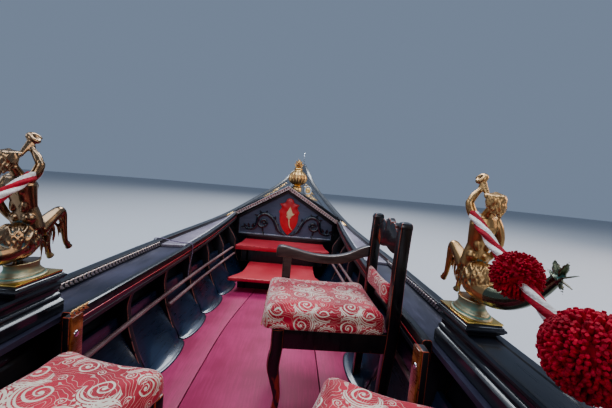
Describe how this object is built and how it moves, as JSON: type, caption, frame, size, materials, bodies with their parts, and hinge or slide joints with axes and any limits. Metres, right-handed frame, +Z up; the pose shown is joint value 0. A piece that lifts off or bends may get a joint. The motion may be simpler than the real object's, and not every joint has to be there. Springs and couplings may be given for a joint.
{
  "type": "rowing gondola boat",
  "caption": "Long flat-bottomed black rowing boat with raised toothed bow iron, carved fore bulkhead, sunk cockpit with seats, brass figures, wool ropes and a single stern oar.",
  "frame": {"origin": "on the waterline, amidships, on the straight line from stern to stem", "axes": "+X forward to the bow, +Y to port, +Z up from the water"},
  "size_m": [11.112, 3.676, 1.652],
  "materials": {
    "lacquer": "black lacquer, glossy",
    "dark_timber": "dark painted timber, satin",
    "pink_floor": "pink-red paint, satin",
    "red_paint": "red paint, satin",
    "grey_paint": "blue-grey paint, satin",
    "deck_board": "brown-lavender paint, satin",
    "varnish": "varnished",
    "walnut": "oiled",
    "gilt": "gilded",
    "brass": "patinated cast brass",
    "steel": "polished",
    "damask": "woven damask",
    "wool": "twisted wool"
  },
  "bodies": {
    "boat": {"bottom_planking": "lacquer", "side_planking_port": "lacquer", "gunwale_rail_port": "lacquer", "side_deck_port": "deck_board", "coaming_port": "lacquer", "side_moulding_port": "lacquer", "figure_port": "brass", "rope_port": "wool", "wool_ball_port_1": "wool", "wool_ball_port_2": "wool", "floor_board_port": "pink_floor", "floor_margin_port": "lacquer", "side_planking_starboard": "lacquer", "gunwale_rail_starboard": "lacquer", "side_deck_starboard": "deck_board", "coaming_starboard": "lacquer", "side_moulding_starboard": "lacquer", "figure_starboard": "brass", "rope_starboard": "wool", "wool_ball_starboard_1": "wool", "wool_ball_starboard_2": "wool", "floor_board_starboard": "pink_floor", "floor_margin_starboard": "lacquer", "stem_post": "lacquer", "stern_post": "lacquer", "frames": "dark_timber", "ribs_fore": "dark_timber", "ribs_aft": "dark_timber", "floor_board_middle": "pink_floor", "lower_step": "red_paint", "lower_riser": "dark_timber", "upper_step": "red_paint", "upper_riser": "dark_timber", "pediment": "grey_paint", "pediment_cornice": "gilt", "pediment_shield": "red_paint", "fore_deck": "lacquer", "stern_deck": "lacquer", "stern_bulkhead": "lacquer", "stern_platform": "dark_timber", "bow_iron": "steel", "stern_iron": "steel", "oarlock": "walnut", "oarlock_block": "lacquer", "peak_vase": "gilt", "coaming_post_port": "varnish", "coaming_post_starboard": "varnish", "lashing_cord": "wool", "chair_frame": "lacquer", "chair_seat": "damask", "chair_back_pad": "damask", "stool_frame_port": "lacquer", "stool_cushion_port": "damask", "stool_frame_starboard": "lacquer", "stool_cushion_starboard": "damask", "main_seat_base": "lacquer", "main_seat_back": "lacquer", "main_seat_cushion": "damask", "main_seat_back_pad": "damask"},
    "oar": {"oar": "walnut"}
  },
  "joints": [
    {"name": "oar_sweep", "type": "hinge", "parent": "boat", "child": "oar", "pos_m": [-2.9, -0.48291, 0.95], "axis": [0, 0, 1], "range_deg": [-25, 25]}
  ]
}
